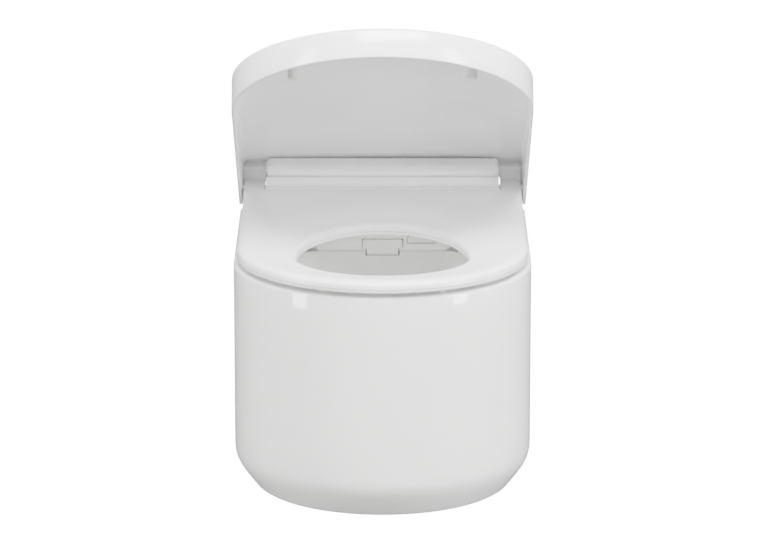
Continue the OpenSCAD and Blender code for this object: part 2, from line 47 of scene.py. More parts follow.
DRIFT = 90.0                                # width of the slow colour drift on every surface
# Origin: middle of the wall face at bolt height. X to the right seen from the front, Y back, Z up.
HINGE_Y, HINGE_Z = -90.0, 101.0             # axis shared by seat and lid
LID_ANGLE = 34.0                            # how far the lid stands open, in degrees
RIM, BOTTOM = 80.0, -211.0                  # top and underside of the bowl
BOWL_HALF, BOWL_CENTRE = 190.0, -398.0      # half width, and where the round front starts
BASIN_MIDDLE = -372.0                       # the rays that draw the basin start here
REAR_X, REAR_Y, REAR_RADIUS = 75.0, -262.0, 40.0    # squarer rear corners of the basin
REAR_RISE = 45.0                            # height over which those corners become square
BOLT_X, SERVICE_X, SERVICE_Z = 90.0, 120.0, 36.0
OUTLET_Z = -100.0
INLET_Z, INLET_BORE, INLET_WALL = 35.0, 27.5, 32.5
SEAT_HALF, SEAT_FRONT = 184.5, 182.0
FRONT_CENTRE = -410.0                       # where the seat's round front starts
EAR_INNER, EAR_REAR, SEAT_REAR = 157.5, -68.0, -125.5
HOLE_X, HOLE_Y = 109.0, -449.0              # half width and middle of the hole
HOLE_FRONT, HOLE_REAR = 92.0, 158.0         # how far the hole reaches each way
SEAT_UNDER = 86.0
LID_HALF, LID_FRONT, LID_CENTRE, LID_REAR = 192.3, 189.5, -320.0, 28.0
LID_SKIRT = -19.2                           # lower edge of the lid below its hinge axis, when closed
STOP_X, STOP_Y, STOP_RADIUS = 113.0, -383.0, 6.5
BAR_HALF = 155.8
FRONT_Y = 224.0                             # how far the unit's front stands from the wall


# ---------- colour and material helpers ----------

def colour(code):
    """An sRGB hex colour as linear red, green, blue and alpha."""
    parts = [int(code[i:i + 2], 16) / 255 for i in (1, 3, 5)]
    return tuple(c / 12.92 if c <= 0.04045 else ((c + 0.055) / 1.055) ** 2.4 for c in parts) + (1.0,)


def node(tree, kind, settings=None, **links):
    """Adds one node, with its settings, and links named inputs (spaces as _)."""
    made = tree.nodes.new(kind)
    for key, value in (settings or {}).items():
        if hasattr(made, key):
            setattr(made, key, value)
        else:
            made.inputs[key].default_value = value
    for key, source in links.items():
        tree.links.new(source, made.inputs[key.replace("_", " ")])
    return made


def finish_of(name, base, shade, rough, wave_mm, wave_lift, grain_mm, grain_lift, shader=None):
    """A surface with slow colour drift, a slow waviness and a fine grain, scaled in millimetres."""
    material = bpy.data.materials.new(name)
    material.use_nodes = True
    tree = material.node_tree
    principled = tree.nodes["Principled BSDF"]
    for key, value in (shader or {}).items():
        principled.inputs[key].default_value = value
    place = node(tree, "ShaderNodeTexCoord").outputs["Object"]
    drift = node(tree, "ShaderNodeTexNoise", {"Scale": 1000 / DRIFT, "Detail": 2.0}, Vector=place)
    ramp = node(tree, "ShaderNodeValToRGB", Fac=drift.outputs["Fac"])
    ramp.color_ramp.elements[0].position = 0.35
    ramp.color_ramp.elements[1].position = 0.65
    ramp.color_ramp.elements[0].color = colour(shade)
    ramp.color_ramp.elements[1].color = colour(base)
    tree.links.new(ramp.outputs["Color"], principled.inputs["Base Color"])
    waves = node(tree, "ShaderNodeTexNoise", {"Scale": 1000 / wave_mm, "Detail": 1.0}, Vector=place)
    grain = node(tree, "ShaderNodeTexNoise", {"Scale": 1000 / grain_mm, "Detail": 3.0}, Vector=place)
    low, high = rough
    spread = node(tree, "ShaderNodeMapRange", {"To Min": low, "To Max": high}, Value=grain.outputs["Fac"])
    tree.links.new(spread.outputs["Result"], principled.inputs["Roughness"])
    slow = node(tree, "ShaderNodeBump", {"Distance": wave_lift * MM, "Strength": 1.0},
                Height=waves.outputs["Fac"])
    fine = node(tree, "ShaderNodeBump", {"Distance": grain_lift * MM, "Strength": 1.0},
                Height=grain.outputs["Fac"], Normal=slow.outputs["Normal"])
    tree.links.new(fine.outputs["Normal"], principled.inputs["Normal"])
    return material


def materials():
    """Every finish: colours, roughness range, then waviness and grain as width and height in millimetres."""
    made = {}
    # vitreous china under a fired glaze: hard reflections that wander slightly, no grain
    made["ceramic"] = finish_of("glazed_vitreous_china", "#f6f6f4", "#f3f3f1", (0.05, 0.10),
                                60, 0.12, 3, 0.004, {"IOR": 1.52, "Coat Weight": 0.6, "Coat Roughness": 0.03})
    # polished duroplast moulding of the lid: glossy with a faint orange peel
    made["lid"] = finish_of("polished_duroplast", "#f4f4f4", "#f1f1f1", (0.12, 0.2),
                            45, 0.05, 2, 0.006, {"IOR": 1.5, "Coat Weight": 0.3, "Coat Roughness": 0.08})
    # duroplast of the seat: the same white, moulded with a softer gloss
    made["seat"] = finish_of("satin_duroplast", "#f2f2f2", "#efefef", (0.2, 0.3),
                             45, 0.04, 1.6, 0.008, {"IOR": 1.5, "Coat Weight": 0.2, "Coat Roughness": 0.15})
    # injection-moulded ABS of the unit's front: fine spark-eroded texture, half matt
    made["fascia"] = finish_of("spark_eroded_abs", "#f4f4f4", "#f0f0f0", (0.3, 0.42),
                               40, 0.03, 1.2, 0.02, {"IOR": 1.53})
    # injection-moulded polypropylene of the casings inside: soft sheen, slightly uneven
    made["casing"] = finish_of("moulded_polypropylene", "#dcdedd", "#d5d8d7", (0.4, 0.55),
                               30, 0.04, 1.5, 0.02, {"IOR": 1.49})
    # glass-filled nylon of gears and motors: dark, dull, with a faint fibre grain
    made["nylon"] = finish_of("glass_filled_nylon", "#3a3c3e", "#303234", (0.45, 0.6),
                              20, 0.03, 1.0, 0.03, {"IOR": 1.53})
    # cast silicone of the stops: off-white and soft, a little light passes into it
    made["silicone"] = finish_of("white_silicone", "#d8d8d6", "#cfcfcd", (0.5, 0.6),
                                 20, 0.03, 1.0, 0.02,
                                 {"IOR": 1.41, "Subsurface Weight": 0.2, "Subsurface Scale": 0.003})
    # extruded EPDM of the seals: nearly black, with hardly any shine
    made["rubber"] = finish_of("black_epdm_seal", "#1c1c1c", "#161616", (0.7, 0.85),
                               20, 0.03, 1.0, 0.04, {"IOR": 1.52})
    # ground stainless steel: cool grey with finely blurred reflections
    made["steel"] = finish_of("ground_stainless_steel", "#c3c5c7", "#b7b9bb", (0.22, 0.34),
                              20, 0.01, 0.8, 0.01, {"Metallic": 1.0})
    # machined brass of the water inlet: warm, with tight highlights
    made["brass"] = finish_of("machined_brass", "#d6b56a", "#c8a558", (0.22, 0.35),
                              20, 0.01, 0.8, 0.01, {"Metallic": 1.0})
    # etched copper heating foil: warm and half blurred
    made["foil"] = finish_of("etched_copper_foil", "#c98d5b", "#bb7f4e", (0.3, 0.42),
                             15, 0.02, 1.0, 0.01, {"Metallic": 1.0})
    # solder resist over a glass-fibre board: smooth green with a slight gloss
    made["board"] = finish_of("solder_resist_board", "#1f5a36", "#18492b", (0.25, 0.4),
                              10, 0.02, 1.0, 0.02, {"IOR": 1.5})
    return made


# ---------- shape helpers (millimetres, seen from above) ----------

def rounded(corners, radii):
    """A closed outline with each corner replaced by an arc of its own radius."""
    made = []
    count = len(corners)
    for i, (point, radius) in enumerate(zip(corners, radii)):
        here = Vector(point)
        if radius <= 0:
            made.append(here)
            continue
        a = (Vector(corners[i - 1]) - here)
        b = (Vector(corners[(i + 1) % count]) - here)
        half = a.angle(b) / 2
        reach = radius / math.tan(half)
        a.normalize()
        b.normalize()
        middle = here + (a + b).normalized() * (radius / math.sin(half))
        start, end = here + a * reach - middle, here + b * reach - middle
        turn = start.angle_signed(end)
        for k in range(9):
            made.append(middle + Matrix.Rotation(-turn * k / 8, 2) @ start)
    return made


def even(points, spacing):
    """The same closed outline with points at even distances, counter-clockwise."""
    area = sum(a.x * b.y - b.x * a.y for a, b in zip(points, points[1:] + points[:1]))
    if area < 0:
        points = points[::-1]
    loop = points + [points[0]]
    lengths = [(b - a).length for a, b in zip(loop, loop[1:])]
    count = int(sum(lengths) / spacing)
    step = sum(lengths) / count
    made, gone, leg = [], 0.0, 0
    for i in range(count):
        while gone + lengths[leg] < i * step:
            gone += lengths[leg]
            leg += 1
        made.append(loop[leg].lerp(loop[leg + 1], (i * step - gone) / lengths[leg]))
    return made


def outward(points):
    """The outward normal at each point of a counter-clockwise outline."""
    made = []
    for i in range(len(points)):
        along = points[(i + 1) % len(points)] - points[i - 1]
        made.append(Vector((along.y, -along.x)).normalized())
    return made


def inside(point, outline):
    """Whether a point lies within a closed outline."""
    hit = False
    for a, b in zip(outline, outline[1:] + outline[:1]):
        if (a.y > point.y) != (b.y > point.y):
            if point.x < (b.x - a.x) * (point.y - a.y) / (b.y - a.y) + a.x:
                hit = not hit
    return hit


def cap(loops, spacing):
    """Triangles that fill the first loop less the others, with even points between."""
    points, edges = [], []
    for loop in loops:
        start = len(points)
        points += loop
        edges += [(start + i, start + (i + 1) % len(loop)) for i in range(len(loop))]
    rim = len(points)
    if spacing:
        xs, ys = [p.x for p in loops[0]], [p.y for p in loops[0]]
        near = {}
        for p in points:
            near.setdefault((round(p.x / spacing), round(p.y / spacing)), []).append(p)
        for i in range(int((max(xs) - min(xs)) / spacing) + 1):
            for j in range(int((max(ys) - min(ys)) / spacing) + 1):
                p = Vector((min(xs) + (i + 0.5) * spacing, min(ys) + (j + 0.5) * spacing))
                cell = (round(p.x / spacing), round(p.y / spacing))
                close = [q for dx in (-1, 0, 1) for dy in (-1, 0, 1)
                         for q in near.get((cell[0] + dx, cell[1] + dy), [])]
                if any((q - p).length < spacing * 0.55 for q in close):
                    continue
                if inside(p, loops[0]) and not any(inside(p, hole) for hole in loops[1:]):
                    points.append(p)
    found, _, triangles, _, _, _ = delaunay_2d_cdt(points, edges, [], 0, 1e-5)
    kept = []
    for t in triangles:
        middle = sum((found[i] for i in t), Vector((0, 0))) / 3
        if inside(middle, loops[0]) and not any(inside(middle, hole) for hole in loops[1:]):
            kept.append(tuple(t))
    return found, kept, rim


def to_object(name, points, faces, material, place=None):
    """Makes the mesh in metres; place turns a point in millimetres into its place on the object."""
    put = place or (lambda p: p)
    mesh = bpy.data.meshes.new(name)
    mesh.from_pydata([tuple(Vector(put(Vector(p))) * MM) for p in points], [], faces)
    work = bmesh.new()
    work.from_mesh(mesh)
    bmesh.ops.remove_doubles(work, verts=work.verts, dist=0.02 * MM)
    bmesh.ops.recalc_face_normals(work, faces=work.faces)
    work.to_mesh(mesh)
    work.free()
    for face in mesh.polygons:
        face.use_smooth = True
    made = bpy.data.objects.new(name, mesh)
    bpy.context.scene.collection.objects.link(made)
    made.data.materials.append(material)
    return made


def moulded(name, material, outer, top, bottom, profile, holes=(), hole_profile=None, grid=8.0,
            ease=None, place=None):
    """A moulding: its top follows top(x, y), and its edges follow a section of (inset, level, drop).

    ease(point) thins the edge roll where it is under 1, and place moves the finished form.
    """
    points, faces = [], []
    ease = ease or (lambda p: 1.0)

    def height(level, drop, p, home):
        return top(p.x, p.y) - drop if level == "top" else bottom(home.x, home.y) + drop

    def rings(outline, section, sign):
        normals = outward(outline)
        made = []
        for inset, level, drop in section:
            ring = []
            for home, n in zip(outline, normals):
                p = home - n * inset * sign * ease(home)
                share = ease(home) if level == "top" and inset else 1
                ring.append((p.x, p.y, height(level, drop * share, p, home)))
            made.append(ring)
        return made

    sets = [rings(outer, profile, 1)] + [rings(h, hole_profile or profile, -1) for h in holes]
    for made in sets:
        for low, high in zip(made, made[1:]):
            start = len(points)
            points += low + high
            n = len(low)
            faces += [(start + i, start + (i + 1) % n, start + n + (i + 1) % n, start + n + i)
                      for i in range(n)]
    for end, spacing in ((0, grid), (-1, grid if profile[-1][1] == "top" else 0)):
        loops = [[Vector(p[:2]) for p in made[end]] for made in sets]
        known = [p for made in sets for p in made[end]]
        found, triangles, rim = cap(loops, spacing)
        start = len(points)
        for i, p in enumerate(found):
            if i < rim:
                points.append(known[i])
            else:
                level, drop = profile[end][1:]
                points.append((p.x, p.y, height(level, drop, p, p)))
        faces += [tuple(start + i for i in t) for t in triangles]
    return to_object(name, points, faces, material, place)


def quarter(radius, steps=5):
    """The section of a rounded top edge, from the flat to the side."""
    made = []
    for i in range(steps + 1):
        a = math.pi / 2 * i / steps
        made.append((radius * (1 - math.sin(a)), "top", radius * (1 - math.cos(a))))
    return made


def d_outline(half, depth, centre, rear, corner):
    """A round front and straight sides back to a rear edge with rounded corners."""
    front = [Vector((half * math.cos(a), centre - depth * math.sin(a)))
             for a in [math.pi * k / 120 for k in range(121)]]
    back = rounded([(-half, centre), (-half, rear), (half, rear), (half, centre)], [0, corner, corner, 0])
    return front + back[1:-1]


def carve(target, cutter):
    """Cuts one closed form out of another."""
    cut = target.modifiers.new("cut", "BOOLEAN")
    cut.operation = "DIFFERENCE"
    cut.solver = "EXACT"
    cut.object = cutter
    baked = bpy.data.meshes.new_from_object(target.evaluated_get(bpy.context.evaluated_depsgraph_get()))
    target.modifiers.clear()
    target.data = baked
    bpy.data.objects.remove(cutter)


def box_form(name, low, high):
    """A closed block that is only used to cut with."""
    corners = [(x, y, z) for x in (low[0], high[0]) for y in (low[1], high[1]) for z in (low[2], high[2])]
    faces = [(0, 1, 3, 2), (4, 6, 7, 5), (0, 4, 5, 1), (2, 3, 7, 6), (0, 2, 6, 4), (1, 5, 7, 3)]
    return to_object(name, corners, faces, SURFACE["ceramic"])


def tube_form(name, path, outer, inner=None, sides=64):
    """A pipe along a path, solid or with a bore."""
    points, faces = [], []
    count = len(path)
    for r in [outer] + ([inner] if inner else []):
        for i, p in enumerate(path):
            a, b = Vector(path[max(i - 1, 0)]), Vector(path[min(i + 1, count - 1)])
            along = (b - a).normalized()
            side = Vector((1, 0, 0))
            up = along.cross(side).normalized()
            for k in range(sides):
                t = 2 * math.pi * k / sides
                points.append(Vector(p) + side * r * math.cos(t) + up * r * math.sin(t))
    for skin in range(2 if inner else 1):
        base = skin * count * sides
        for i in range(count - 1):
            for k in range(sides):
                a, b = base + i * sides + k, base + i * sides + (k + 1) % sides
                faces.append((a, b, b + sides, a + sides))
    if inner:
        for i in (0, count - 1):
            for k in range(sides):
                a, b = i * sides + k, i * sides + (k + 1) % sides
                faces.append((a, b, count * sides + b, count * sides + a))
    else:
        faces += [tuple(range(sides)), tuple(range((count - 1) * sides, count * sides))]
    return to_object(name, points, faces, SURFACE["ceramic"])


def crisp(thing, degrees=32):
    """Smooth faces that break at real corners."""
    with bpy.context.temp_override(object=thing, active_object=thing, selected_editable_objects=[thing]):
        bpy.ops.object.shade_smooth_by_angle(angle=math.radians(degrees))


def keep(thing, body, slot_name, *nodes):
    """Puts a piece on its body, and hides the CAD nodes that it stands for. slot_name is not used."""
    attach(thing, body)
    if nodes:
        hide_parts(*nodes)


# ---------- camera, floor and light ----------

def camera():
    """A long lens a little above the seat, looking down at the front."""
    made = bpy.data.cameras.new("camera")
    made.sensor_width = 36
    made.lens = 211.76
    made.clip_end = 100
    holder = bpy.data.objects.new("camera", made)
    holder.location = (0, -5.9535, 1.508)
    holder.rotation_euler = (math.radians(90 - 14.58), 0, 0)
    bpy.context.scene.collection.objects.link(holder)
    bpy.context.scene.camera = holder


def soft_box(name, place, aim, width, height, watts):
    """A rectangular lamp turned towards a point."""
    lamp = bpy.data.lights.new(name, "AREA")
    lamp.shape = "RECTANGLE"
    lamp.size, lamp.size_y, lamp.energy = width, height, watts
    holder = bpy.data.objects.new(name, lamp)
    holder.location = place
    holder.rotation_euler = (Vector(aim) - Vector(place)).to_track_quat("-Z", "Y").to_euler()
    bpy.context.scene.collection.objects.link(holder)


def studio():
    """A white floor that doesn't light the object, an even sky and four soft boxes."""
    material = bpy.data.materials.new("pale_floor")
    material.use_nodes = True
    shader = material.node_tree.nodes["Principled BSDF"]
    shader.inputs["Base Color"].default_value = colour("#fafafa")
    shader.inputs["Roughness"].default_value = 0.9
    shader.inputs["Emission Color"].default_value = (1, 1, 1, 1)
    shader.inputs["Emission Strength"].default_value = 16.0
    mesh = bpy.data.meshes.new("floor")
    size, level = 30, -0.32
    corners = [(-size, -size, level), (size, -size, level), (size, size, level), (-size, size, level)]
    mesh.from_pydata(corners, [], [(0, 1, 2, 3)])
    floor = bpy.data.objects.new("floor", mesh)
    floor.data.materials.append(material)
    bpy.context.scene.collection.objects.link(floor)
    floor.visible_diffuse = False
    floor.visible_glossy = False
    world = bpy.data.worlds.new("studio")
    world.use_nodes = True
    world.node_tree.nodes["Background"].inputs["Color"].default_value = (1, 1, 1, 1)
    world.node_tree.nodes["Background"].inputs["Strength"].default_value = 0.5
    bpy.context.scene.world = world
    soft_box("left_box", (-2.7, -1.7, 0.7), (0, -0.35, 0.0), 0.7, 2.8, 135)
    soft_box("right_box", (2.6, -1.9, 0.8), (0, -0.35, 0.0), 0.7, 2.8, 190)
    soft_box("top_box", (0.3, -1.6, 2.9), (0, -0.35, 0), 2.4, 1.2, 400)
    soft_box("front_box", (0, -6.6, 1.9), (0, -0.3, 0.05), 1.6, 1.0, 70)


# ---------- the bowl ----------

# height, centre and radius of the basin on its way down to the sump
STAGES = [(80, -398, 150), (45, -396, 146), (10, -392, 138), (-60, -372, 106), (-120, -345, 66),
          (-150, -335, 40)]


def basin_level(z):
    """Centre and radius of the basin at a height."""
    for (za, ya, ra), (zb, yb, rb) in zip(STAGES, STAGES[1:]):
        if za >= z >= zb:
            t = (za - z) / (za - zb)
            t = t * t * (3 - 2 * t) * 0.35 + t * 0.65
            return ya + (yb - ya) * t, ra + (rb - ra) * t
    return STAGES[-1][1], STAGES[-1][2]


def reach(angle, centre, z, grow):
    """How far the basin's wall is from the centre in one direction, with its squarer rear corners."""
    cy, radius = basin_level(z)
    way = Vector((math.cos(angle), math.sin(angle)))
    rear = max(0.0, min(1.0, z / REAR_RISE))
    low, high = 0.0, 260.0
    for _ in range(26):
        t = (low + high) / 2
        p = Vector((0, centre)) + way * t
        held = (p - Vector((0, cy))).length < radius + grow
        if not held and rear > 0:
            corner = REAR_RADIUS * rear + grow
            span = abs(p.x) <= REAR_X + corner and cy < p.y <= REAR_Y + corner
            if span:
                side = max(0.0, abs(p.x) - REAR_X)
                up = max(0.0, p.y - REAR_Y)
                limit = radius * math.sqrt(max(0.0, 1 - min(1.0, max(0.0, (p.y - cy) / radius) * 0.55) ** 2))
                held = side * side + up * up < corner * corner and abs(p.x) < limit + grow
        low, high = (t, high) if held else (low, t)
    return low


def bowl():
    """The china: one skin from the sump over the rim to the underside, cut for the unit and the back."""
    outer = even(d_outline(BOWL_HALF, BOWL_HALF, BOWL_CENTRE, 0, 0), 5.0)
    centre = BASIN_MIDDLE
    angles = [math.atan2(p.y - centre, p.x) for p in outer]
    normals = outward(outer)
    rings = []
    for z in [-150, -142, -130, -115, -100, -82, -64, -46, -28, -10, 8, 22, 36, 48, 58, 66, 72]:
        rings.append([(math.cos(a) * reach(a, centre, z, 0), centre + math.sin(a) * reach(a, centre, z, 0), z)
                      for a in angles])
    edge = 8.0
    for k in range(1, 7):
        t = math.pi / 2 * k / 6
        grow, z = edge * (1 - math.cos(t)), RIM - edge + edge * math.sin(t)
        rings.append([(math.cos(a) * reach(a, centre, RIM - edge, grow),
                       centre + math.sin(a) * reach(a, centre, RIM - edge, grow), z) for a in angles])

    def outside(inset, z):
        ring = []
        for p, n in zip(outer, normals):
            q = p - n * inset
            x = max(-BOWL_HALF + inset, min(BOWL_HALF - inset, q.x))
            ring.append((x, 0.0 if p.y > -0.01 else min(q.y, 0.0), z))
        return ring

    for k in range(7):
        t = math.pi / 2 * k / 6
        rings.append(outside(5 * (1 - math.sin(t)), RIM - 5 * (1 - math.cos(t))))
    section = [(0, 50), (0, 0), (0, -60), (0, -120), (0, -158), (0.5, -166), (2.4, -174), (6.2, -182),
               (12, -190.5), (18, -198.5), (22.3, -204), (25.5, -208), (29, -210.2), (33, BOTTOM)]
    rings += [outside(inset, z) for inset, z in section]
    count = len(outer)
    points = [p for ring in rings for p in ring]
    faces = []
    for i in range(len(rings) - 1):
        for k in range(count):
            a, b = i * count + k, i * count + (k + 1) % count
            faces.append((a, b, b + count, a + count))
    faces += [tuple(range(count)), tuple(range((len(rings) - 1) * count, len(rings) * count))]
    made = to_object("bowl", points, faces, SURFACE["ceramic"])
    carve(made, box_form("pocket", (-177, -216, 20), (177, -15, 90)))
    carve(made, box_form("dam_gap", (-100, -240, 46.5), (100, -214, 91)))
    carve(made, box_form("spray_gap", (-22.5, -240, 41.2), (22.5, -214, 91)))
    carve(made, box_form("rear_step", (-200, -122, 52), (200, 5, 92)))
    carve(made, box_form("window", (-140, -230, -186), (140, 5, -45)))
    carve(made, tube_form("inlet_way", [(0, -13, INLET_Z), (0, 12, INLET_Z)], INLET_BORE))
    for side in (-1, 1):
        bolt, service = side * BOLT_X, side * SERVICE_X
        carve(made, tube_form("bolt_way", [(bolt, -24, 0), (bolt, 12, 0)], 12))
        carve(made, tube_form("service_way", [(service, -22, SERVICE_Z), (service, 12, SERVICE_Z)], 13))
    crisp(made)
    keep(made, "base", "glazed_ceramic", "ceramic_bowl")
    boss = tube_form("inlet_boss", [(0, y, INLET_Z) for y in (-39, -30, -10, -1)], INLET_WALL, INLET_BORE)
    crisp(boss)
    keep(boss, "base", "glazed_ceramic", "ceramic_bowl")
    bend = [(0, -231, -80), (0, -205, -62), (0, -185, -58), (0, -160, -66), (0, -135, -88),
            (0, -110, OUTLET_Z), (0, -66, OUTLET_Z)]
    pipe = tube_form("trap_pipe", bend, 41)
    crisp(pipe)
    keep(pipe, "base", "glazed_ceramic", "ceramic_bowl")
    spigot = tube_form("outlet_spigot", [(0, y, OUTLET_Z) for y in (-68, -40, -5, -2.5)], 51, 44)
    crisp(spigot)
    keep(spigot, "base", "glazed_ceramic", "ceramic_bowl")


# ---------- the seat ----------

def hole_outline(grow=0.0):
    """The hole of the seat, short to the front and long to the rear."""
    made = []
    for k in range(180):
        a = 2 * math.pi * k / 180
        depth = HOLE_FRONT if math.sin(a) > 0 else HOLE_REAR
        made.append(Vector(((HOLE_X + grow) * math.cos(a), HOLE_Y - (depth + grow) * math.sin(a))))
    return even(made, 4.0)


def seat_top(x, y):
    """The seat's top: a slight fall to the front, dished towards the hole."""
    plane = HINGE_Z + 6 + (y - HINGE_Y) * math.tan(math.radians(0.7))
    depth = HOLE_FRONT if y < HOLE_Y else HOLE_REAR
    away = (math.hypot(x / HOLE_X, (y - HOLE_Y) / depth) - 1) * 110
    return plane - 4.2 * math.exp(-max(away, 0.0) ** 2 / (34 ** 2))


def seat_outline(inset=0.0, ears=True):
    """The seat seen from above, with or without the two ears beside the hinge cover."""
    half = SEAT_HALF - inset
    front = [Vector((half * math.cos(a), FRONT_CENTRE - (SEAT_FRONT - inset) * math.sin(a)))
             for a in [math.pi * k / 120 for k in range(121)]]
    if ears:
        corners = [(-half, FRONT_CENTRE), (-half, EAR_REAR), (-EAR_INNER, EAR_REAR), (-EAR_INNER, SEAT_REAR),
                   (EAR_INNER, SEAT_REAR), (EAR_INNER, EAR_REAR), (half, EAR_REAR), (half, FRONT_CENTRE)]
        radii = [0, 9, 4, 3, 3, 4, 9, 0]
    else:
        corners = [(-half, FRONT_CENTRE), (-half, SEAT_REAR), (half, SEAT_REAR), (half, FRONT_CENTRE)]
        radii = [0, 2, 2, 0]
    return even(front + rounded(corners, radii)[1:-1], 3.0)


def seat_ease(p):
    """The edge roll is full round the front and small on the ears and the rear edge."""
    t = max(0.0, min(1.0, (-132 - p.y) / 45))
    return 0.16 + 0.84 * t * t * (3 - 2 * t)


def seat():
    """The upper shell, the heating foil that follows its dish, and the lower shell."""
    roll = [(14, "top", 0), (10, "top", 0.15), (7, "top", 0.45), (4.6, "top", 0.95), (2.8, "top", 1.7),
            (1.4, "top", 2.7), (0.5, "top", 3.9), (0.0, "top", 5.2)]

    def under(x, y):
        if y < -119:
            return 90.25
        ahead = min(1.0, abs(y - HINGE_Y) / 23.2)
        return max(SEAT_UNDER, HINGE_Z - 23.2 * math.sqrt(1 - ahead * ahead))

    foot = [(0.0, "bottom", 0.4), (0.5, "bottom", 0)]
    upper = moulded("seat_top", SURFACE["seat"], seat_outline(), seat_top, under, roll + foot,
                    [hole_outline()], quarter(6.5, 6) + foot, 7.0, seat_ease)
    crisp(upper, 50)
    keep(upper, "seat", "seat_white", "seat_upper_shell")
    band = [(0.0, "top", 0.0), (0.0, "bottom", 0.0)]
    foil = moulded("seat_foil", SURFACE["foil"], seat_outline(16, False),
                   lambda x, y: seat_top(x, y) - 4.0,
                   lambda x, y: seat_top(x, y) - 4.4, band, [hole_outline(14)], band, 9.0)
    keep(foil, "seat", "heating_foil", "seat_heating_foil")
    edge = [(0.5, "top", 0), (0.0, "top", 0.4), (0.0, "bottom", 0.9), (0.4, "bottom", 0.2),
            (1.1, "bottom", 0)]
    lower = moulded("seat_base", SURFACE["seat"], seat_outline(0.3, False),
                    lambda x, y: 89.8, lambda x, y: SEAT_UNDER, edge, [hole_outline(0.3)], None, 0)
    crisp(lower, 50)
    keep(lower, "seat", "seat_white", "seat_lower_shell")


# ---------- the lid ----------

def on_lid(p):
    """From the closed lid's own frame to its place half open."""
    turned = Matrix.Rotation(math.radians(-LID_ANGLE), 3, "X") @ Vector(p)
    return turned + Vector((0, HINGE_Y, HINGE_Z))


def lid_top(x, y):
    """The closed lid's top: rising to the rear, crowned across, and rounded off behind the hinge."""
    plane = 20.2 + (LID_FRONT - LID_CENTRE + y) * math.tan(math.radians(2.9))
    fall = 0.045 * max(0.0, y - 14) ** 2
    crown = 1.2 * max(0.0, 1 - (x / 190) ** 2)
    return plane - fall - 1.2 + crown


def lid_edge(x, y):
    """The lower edge: level round the front, rounded up at the rear ends, high above the hinge cover."""
    if y > 27.5 and abs(x) < 186:
        t = max(0.0, min(1.0, (158.4 - abs(x)) / 1.6))
        return 34 * t
    if y > 12:
        t = min(1.0, (y - 12) / 16)
        return LID_SKIRT - LID_SKIRT * (1 - math.sqrt(max(0.0, 1 - t * t)))
    return LID_SKIRT


def lid():
    """The hollow shell, with its skirt in one go from the outside to the inner panel, and its two stops."""
    outline = even(d_outline(LID_HALF, LID_FRONT, LID_CENTRE, LID_REAR, 7), 3.0)
    lip = [(0.0, "bottom", 1.2), (0.35, "bottom", 0.35), (1.2, "bottom", 0), (3.6, "bottom", 0),
           (4.4, "bottom", 0.35), (4.7, "bottom", 1.2)]
    inner = [(4.7, "top", 9.5), (5.3, "top", 6.8), (7.0, "top", 5.2), (9.4, "top", 4.5)]
    section = quarter(5.0, 6) + lip + inner
    shell = moulded("lid", SURFACE["lid"], outline, lid_top, lid_edge, section, (), None, 12.0, None, on_lid)
    crisp(shell, 50)
    keep(shell, "lid", "gloss_white", "lid_shell")
    top = lid_top(STOP_X, STOP_Y) - 4.5
    nose = [(0, "top", 0), (0, "bottom", 2.4), (0.5, "bottom", 1.0), (1.4, "bottom", 0.25),
            (2.6, "bottom", 0)]
    for side, name in ((-1, "left"), (1, "right")):
        circle = [Vector((side * STOP_X + STOP_RADIUS * math.cos(a), STOP_Y + STOP_RADIUS * math.sin(a)))
                  for a in [2 * math.pi * k / 40 for k in range(40)]]
        stop = moulded("lid_stop_" + name, SURFACE["silicone"], even(circle, 1.0), lambda x, y: top + 0.5,
                       lambda x, y: 1.8, nose, (), None, 0, None, on_lid)
        crisp(stop, 50)
        keep(stop, "lid", "soft_rubber", "lid_bumpers")


# ---------- the hinge cover ----------

def along_bar(name, outline, half, curve, floor):
    """A section drawn from the hinge axis, run along it and rounded in at its ends."""
    normals = outward(outline)
    stations = [(-half + curve * (1 - math.cos(t)), curve * (1 - math.sin(t)))
                for t in [math.pi / 2 * k / 9 for k in range(10)]]
    stations += [(-half + curve + (2 * half - 2 * curve) * k / 10, 0.0) for k in range(1, 10)]
    stations += [(-x, inset) for x, inset in stations[9::-1]]
    count = len(outline)
    points = [(x, HINGE_Y + p.x - n.x * inset, HINGE_Z + max(floor, p.y - n.y * inset))
              for x, inset in stations for p, n in zip(outline, normals)]
    faces = [(i * count + k, i * count + (k + 1) % count,
              (i + 1) * count + (k + 1) % count, (i + 1) * count + k)
             for i in range(len(stations) - 1) for k in range(count)]
    faces += [tuple(range(count)), tuple(range((len(stations) - 1) * count, len(stations) * count))]
    made = to_object(name, points, faces, SURFACE["lid"])
    crisp(made, 40)
    keep(made, "base", "gloss_white", "hinge_cover")


def hinge_bar():
    """The raised bar between the seat's ears, and the low step in front of it."""
    foot = 81.5 - HINGE_Z
    back = [(40 * math.cos(math.radians(a)), 40 * math.sin(math.radians(a))) for a in range(62, -21, -8)]
    corners = [(-12, foot), (-12, 18.6), (-16.6, 19.0), (-15.6, 25), (-11, 31.5), (12, 38.0)]
    radii = [0, 0.4, 1.8, 5, 9, 14]
    back.append((8, foot))
    outline = even(rounded(corners + back, radii + [0] * len(back)), 1.4)
    along_bar("hinge_bar", outline, BAR_HALF, 7.0, foot)
    step = rounded([(-33, foot), (-33, 5.2), (-21, 7.2), (-15.2, 17.4), (-10, 17.8), (-10, foot)],
                   [0, 1.6, 7, 1, 1, 0])
    along_bar("hinge_step", even(step, 1.2), 155.6, 1.2, foot)


# ---------- the unit's front, seen through the seat ----------

def facing(p):
    """Turns a flat form drawn in width and height so that it faces forward."""
    return Vector((p.x, -p.z, p.y))


